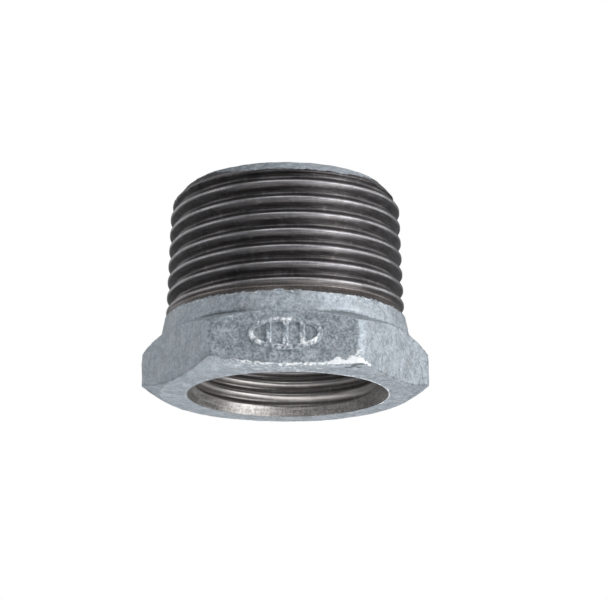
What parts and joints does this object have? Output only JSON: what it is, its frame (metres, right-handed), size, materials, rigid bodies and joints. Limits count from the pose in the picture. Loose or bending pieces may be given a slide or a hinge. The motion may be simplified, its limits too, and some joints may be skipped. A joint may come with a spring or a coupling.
{
  "type": "hexagon reducing bush",
  "caption": "Threaded concentric reducer: a hexagon head and plain collar on a taper male pipe thread, with a smaller female pipe thread in its bore.",
  "frame": {"origin": "on the axis of the bore, in the plane of the hexagon's end face", "axes": "+Z along the axis from the hexagon to the small end of the male thread; -Y square to the hexagon flat with the raised mark"},
  "size_m": [0.0406, 0.0359, 0.0295],
  "materials": {
    "zinc_coat": "hot-dip galvanised as-cast skin, matt and mottled",
    "cut_iron": "bare machined thread, dark and lightly oiled, bright along the crests"
  },
  "bodies": {
    "root": {"hex_head": "zinc_coat", "collar": "zinc_coat", "threaded_shank": "cut_iron", "nose_ring": "zinc_coat", "foundry_mark": "zinc_coat"}
  },
  "joints": []
}
